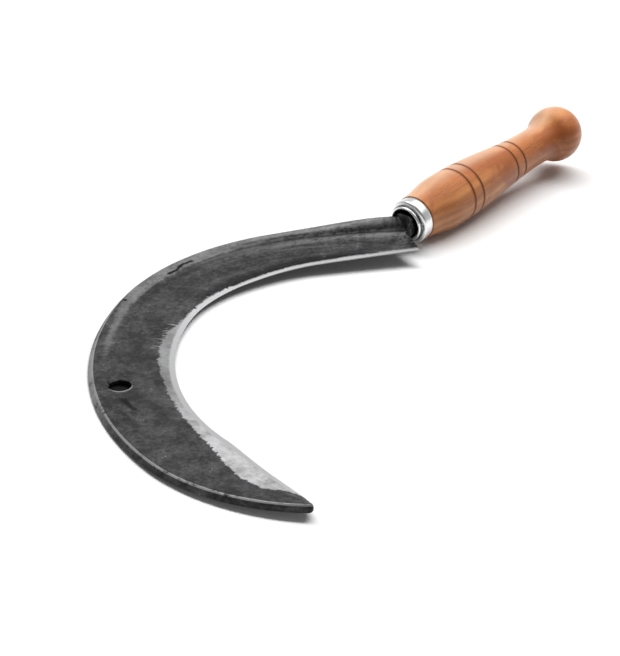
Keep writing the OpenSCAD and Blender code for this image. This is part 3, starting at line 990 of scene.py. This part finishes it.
# Where the honed strip ends, in millimetres from the edge
HONED_END = (2.4, 3.8)
ragged = plus(tree, push(tree, teeth, 6.5), push(tree, frost, 2.5))
ragged = times(tree, ragged, times_plus(tree, step(tree, from_heel, *RAGGED_GROWS), 0.75, 0.25))
at_bend = times(tree, step(tree, from_heel, *SPIKES_START), fade(tree, from_heel, *SPIKES_END))
bend_spikes = times(tree, step(tree, spikes, 0.5, 0.66), at_bend)
ragged = plus(tree, ragged, times(tree, bend_spikes, 5.5))
ground = step(tree, plus(tree, kept(tree, "ground_in"), ragged), -0.5, 0.8)

scratched = plus(tree, times(tree, lines, 0.3), times(tree, fine, 0.3))
bare_tone = step(tree, plus(tree, scratched, mottle), 0.55, 1.0)
bare = blended(tree, bare_tone, BARE_DARK, BARE_PALE)
duller = times(tree, fade(tree, from_heel, *DULLNESS_END), 0.55)
bare = blended(tree, duller, bare, BARE_DULL)
from_edge = plus(tree, kept(tree, "edge_in"), push(tree, teeth, 1.2))
honed = fade(tree, from_edge, *HONED_END)
honed_colour = blended(tree, step(tree, from_heel, *FAR_ARM_END), HONED_HEEL, HONED_EDGE)
bare = blended(tree, honed, bare, honed_colour)
print("bare steel from", BARE_DARK[0], "to", BARE_PALE[0])

# %% Forged steel
metal = larger(tree, times_plus(tree, ground, 0.2, 0.75), worn_and_highlit_bits)
skin_rough = times_plus(tree, scale_tone, -0.12, 0.56)
bare_rough = times_plus(tree, honed, -0.12, 0.44)
pits = plus(tree, times(tree, fine, 0.6), mottle)
pits = minus(tree, pits, times(tree, marks, 0.8))
relief = between(tree, ground, pits, times(tree, lines, 0.3))
set_shader(tree, shader, Base_Color=blended(tree, ground, skin, bare), Metallic=metal,
           Roughness=between(tree, ground, skin_rough, bare_rough), Specular_IOR_Level=0.1,
           Normal=bump(tree, relief, 0.35, 0.0004))
blade.data.materials.clear()
blade.data.materials.append(forged)
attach(blade, "root")
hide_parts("blade")
print("forged steel has", len(tree.nodes), "nodes")

# %% [markdown]
# ## The ferrule
# The ferrule is a short tube, drawn in at the front and rolled over into a lip, with a
# narrow groove behind the lip. It is round, so half of its section, turned once round the
# handle's axis with a spin, makes all of it, inside and outside.

# %% Ferrule
FERRULE_R, FERRULE_LEN, WALL = 13.2, 10, 1
MOUTH_R, LIP_T, NECK_R, GROOVE_W, BODY_AT = 8.7, 2, 9.9, 0.5, 4
TURNS = 128


def arc_of(cx, cy, rx, ry, start, end, count):
    """Points on part of an ellipse, the angles in degrees."""
    angles = [radians(mix(start, end, i / count)) for i in range(count + 1)]
    return [(cx + rx * cos(a), cy + ry * sin(a)) for a in angles]


draw_in = FERRULE_R - NECK_R
lip = arc_of(MOUTH_R + LIP_T / 2, LIP_T / 2, LIP_T / 2, LIP_T / 2, 140, 430, 30)
swell = arc_of(NECK_R, BODY_AT, draw_in, BODY_AT - LIP_T - GROOVE_W, 270, 360, 14)
tail = [(FERRULE_R, 6), (FERRULE_R, 8), (FERRULE_R, FERRULE_LEN - 0.35),
        (FERRULE_R - 0.12, FERRULE_LEN - 0.1), (FERRULE_R - 0.4, FERRULE_LEN)]
inner = [(FERRULE_R - WALL, FERRULE_LEN), (FERRULE_R - WALL, BODY_AT + WALL / 2)]
inside = arc_of(NECK_R - WALL, BODY_AT + WALL / 2, draw_in, 1.3, 350, 280, 6)
half_section = lip + swell[1:] + tail + inner + inside
ferrule = turned(half_section, "ferrule_plated", handle_frame, TURNS, closed=True)
compare(ferrule, "ferrule")

# %% [markdown]
# Bright plating is a mirror with small faults: fine scratches and faint waves from the
# drawing of the tube. Shade is painted dark inside the lip and in the groove behind it. Both
# are found in the handle's own directions: so far along its axis, or so far from it.

# %% Bright plating
PLATE_GREY, PLATE_BRIGHT, LIP_GROOVE_SHADE = (0.82, 0.83, 0.84), (0.93, 0.93, 0.93), (0.05, 0.048, 0.046)
# Height of the groove's painted shade in millimetres, and where the shade fades, in metres
# from there and from the handle's axis
GROOVE_SHADE_AT, GROOVE_FADES, LIP_FADES = 2.3, (0.0002, 0.0005), (0.0094, 0.01)


def handle_position(tree):
    """Where a point lies in the handle's own directions, z along it from the mouth."""
    made = add(tree, "Mapping", {"vector_type": "TEXTURE"}, Vector=object_position(tree),
               Location=handle_frame.translation, Rotation=handle_frame.to_euler())
    return made.outputs["Vector"]


plated, tree, shader = new_material("bright_plating")
own = handle_position(tree)
height = add(tree, "SeparateXYZ", Vector=own).outputs["Z"]
across = vectors(tree, "MULTIPLY", own, (1, 1, 0))["Vector"]
from_axis = vectors(tree, "LENGTH", across)["Value"]
smears = grain(tree, object_position(tree), 160, 5, 0.6)
hairlines = grain(tree, stretched(tree, own, 300, 300, 5000), 1, 3, 0.6)
# Shade is painted dark in the groove behind the lip and inside the lip
in_groove = fade(tree, apart(tree, height, GROOVE_SHADE_AT * MM), *GROOVE_FADES)
inside_lip = fade(tree, from_axis, *LIP_FADES)
painted_shade = times(tree, larger(tree, in_groove, inside_lip), 0.85)
plate = blended(tree, smears, PLATE_GREY, PLATE_BRIGHT)
wavy = plus(tree, smears, times(tree, hairlines, 0.3))
set_shader(tree, shader, Base_Color=blended(tree, painted_shade, plate, LIP_GROOVE_SHADE), Metallic=1,
           Roughness=times_plus(tree, smears, 0.2, 0.14), Normal=bump(tree, wavy, 0.12, 0.0002))
ferrule.data.materials.append(plated)
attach(ferrule, "root")
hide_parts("ferrule")
print("bright plating has", len(tree.nodes), "nodes")

# %% [markdown]
# ## The handle
# The handle is turned on a lathe from one piece of beech: a shoulder behind the ferrule, a
# belly for the hand, a waist and a round knob. Two pairs of grooves are cut while it spins
# and burnt dark with a wire. A spin of its outline is the same work as the lathe's. The
# outline goes down the hole for the tang as well, so that blade and wood don't overlap.

# %% Radius of the wood
SHOULDER_R, GRIP_R, GRIP_START, GRIP_END = 13.7, 16.7, 35, 43
WAIST_R, WAIST_AT = 11.4, 125
GROOVES = [at + side * 8.8 / 2 for at in (50.5, 98) for side in (-1, 1)]
GROOVE_DEEP, GROOVE_WIDE = 0.55, 1.9
SHOULDER_AT = FERRULE_LEN + 0.05
SHOULDER_ROUND, SHOULDER_CUT = 0.5, 0.35


def wood_r(z):
    """Radius of the wood between shoulder and waist, with its grooves."""
    if z < GRIP_START:
        r = mix(SHOULDER_R, GRIP_R, ease(share(z, SHOULDER_AT, GRIP_START)))
    else:
        r = mix(GRIP_R, WAIST_R, ease(share(z, GRIP_END, WAIST_AT)))
    near = min(abs(z - groove) for groove in GROOVES)
    r -= GROOVE_DEEP * (0.5 + 0.5 * cos(pi * min(1, near / (GROOVE_WIDE / 2))))
    corner = share(z, SHOULDER_AT, SHOULDER_AT + SHOULDER_ROUND)
    return r - SHOULDER_CUT * (1 - sqrt(corner * (2 - corner)))


print("the grip is", round(2 * wood_r(GRIP_START), 1), "mm across")

# %% Turned handle
KNOB_R, KNOB_AT, THROAT_R = 17, 148.6, 25
SEAT_R = FERRULE_R - WALL - 0.05
WOOD_FRONT = BODY_AT + WALL / 2 + 0.5
# The hole for the tang, from its bottom to the front of the wood
BORE = [(0, 96.4), (2.9, 96.4), (4.3, 60), (5.9, 14), (7.3, WOOD_FRONT)]
# Spacing of the outline's points: on the shoulder's corner, in a groove, and elsewhere
CORNER_SLICE, GROOVE_SLICE, SLICE, CORNER_SLICES = 0.08, 0.14, 0.9, 8
throat_at = KNOB_AT - sqrt((KNOB_R + THROAT_R) ** 2 - (WAIST_R + THROAT_R) ** 2)
throat_end = asin((KNOB_AT - throat_at) / (KNOB_R + THROAT_R))
seat = [(SEAT_R, WOOD_FRONT), (SEAT_R, SHOULDER_AT)]

corner_end = SHOULDER_AT + CORNER_SLICE * CORNER_SLICES
heights = [SHOULDER_AT + CORNER_SLICE * k for k in range(CORNER_SLICES)]
heights += [corner_end + SLICE * k for k in range(ceil((WAIST_AT - SHOULDER_AT) / SLICE))]
heights += [groove + GROOVE_SLICE * k for groove in GROOVES for k in range(-8, 9)]
heights = sorted({round(z, 3) for z in heights if z < WAIST_AT})
wall = [(wood_r(z), z) for z in heights if z < throat_at]
turns = [throat_end * i / 24 for i in range(1, 25)]
throat = [(WAIST_R + THROAT_R - THROAT_R * cos(a), throat_at + THROAT_R * sin(a)) for a in turns]
turns = [mix(pi / 2 + throat_end, 0, i / 60) for i in range(1, 61)]
knob = [(KNOB_R * sin(a), KNOB_AT + KNOB_R * cos(a)) for a in turns]
outline = BORE + seat + wall + throat + knob
handle = turned(outline, "handle_turned", handle_frame, TURNS)
compare(handle, "handle")

# %% [markdown]
# Beech is pale and even, with short dark flecks along the grain. Varnish and years of
# handling have made it warmer, and the clear coat over it mirrors the room. Its top is
# painted paler as a sheen, and it is deep orange-brown where it faces the viewer. The burnt
# grooves are found by their place along the handle, in the handle's own directions.

# %% Beech
WOOD_WARM, WOOD_PALE = (0.5, 0.15, 0.04), (0.78, 0.33, 0.12)
YEARS_DARK, FIBRE_PALE, FLECK_DARK = (0.34, 0.085, 0.018), (0.78, 0.36, 0.14), (0.24, 0.07, 0.02)
PATCH_RED, SHEEN_PALE = (0.38, 0.1, 0.024), (0.9, 0.58, 0.38)
# A painted sheen makes one side paler: up and a little back, in the handle's own directions
SHEEN_SIDE = (-0.89, 0.46, 0)
beech, tree, shader = new_material("varnished_beech")
own = handle_position(tree)
height = add(tree, "SeparateXYZ", Vector=own).outputs["Z"]
tone = grain(tree, stretched(tree, own, 60, 60, 9), 1, 4, 0.55, 0.4)
fibre = grain(tree, stretched(tree, own, 1500, 1500, 60), 1, 4, 0.6)
flecks = grain(tree, stretched(tree, own, 1100, 1100, 230), 1, 2, 0.5)
patches = grain(tree, stretched(tree, own, 38, 38, 26), 1, 3, 0.6, 0.6)
heart = add(tree, "Mapping", Vector=own, Location=(2.4, 1.1, 0), Scale=(60, 60, 6))
years = add(tree, "TexWave", {"wave_type": "RINGS", "rings_direction": "Z"},
            Vector=heart.outputs["Vector"], Scale=1.0, Distortion=2.5, Detail=3.0,
            Detail_Scale=1.2).outputs["Fac"]

wood = blended(tree, step(tree, tone, 0.36, 0.64), WOOD_WARM, WOOD_PALE)
wood = blended(tree, times(tree, years, 0.45), wood, YEARS_DARK)
wood = blended(tree, times(tree, step(tree, fibre, 0.35, 0.7), 0.3), wood, FIBRE_PALE)
wood = blended(tree, times(tree, step(tree, flecks, 0.6, 0.74), 0.3), wood, FLECK_DARK)
wood = blended(tree, times(tree, step(tree, patches, 0.46, 0.6), 0.75), wood, PATCH_RED)
# A painted sheen makes the top of the handle paler
across = vectors(tree, "MULTIPLY", own, (1, 1, 0))["Vector"]
across = vectors(tree, "NORMALIZE", across)["Vector"]
facing = vectors(tree, "DOT_PRODUCT", across, SHEEN_SIDE)["Value"]
sheen = step(tree, times_plus(tree, patches, 0.3, facing), 0.75, 1.15)
wood = blended(tree, times(tree, sheen, 0.6), wood, SHEEN_PALE)
print("beech from", WOOD_WARM[0], "to", WOOD_PALE[0])

# %% Burnt grooves and varnish
BURNT, FERRULE_SHADE_BLACK = (0.24, 0.07, 0.018), (0.012, 0.006, 0.004)
# Where the burn fades from a groove's middle, and the painted shade from the ferrule's mouth, in metres
BURN_FADES, FERRULE_SHADE_FADES = (0.0004, 0.002), (0.0075, 0.0098)
shaky = push(tree, fibre, 0.0006)
burn = 0.0
for at in GROOVES:
    from_groove = plus(tree, apart(tree, height, at * MM), shaky)
    burn = larger(tree, burn, fade(tree, from_groove, *BURN_FADES))
wood = blended(tree, times(tree, burn, 0.8), wood, BURNT)
# The end of the wood inside the ferrule is painted near-black as shade
wood = blended(tree, fade(tree, height, *FERRULE_SHADE_FADES), wood, FERRULE_SHADE_BLACK)
relief = minus(tree, fibre, times(tree, step(tree, flecks, 0.62, 0.72), 0.5))
set_shader(tree, shader, Base_Color=wood, Roughness=times_plus(tree, tone, 0.15, 0.4),
           Specular_IOR_Level=0.3, Coat_Weight=0.8, Coat_IOR=1.3, Coat_Roughness=0.35,
           Normal=bump(tree, relief, 0.25, 0.0003))
handle.data.materials.append(beech)
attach(handle, "root")
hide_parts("handle")
print("varnished beech has", len(tree.nodes), "nodes")
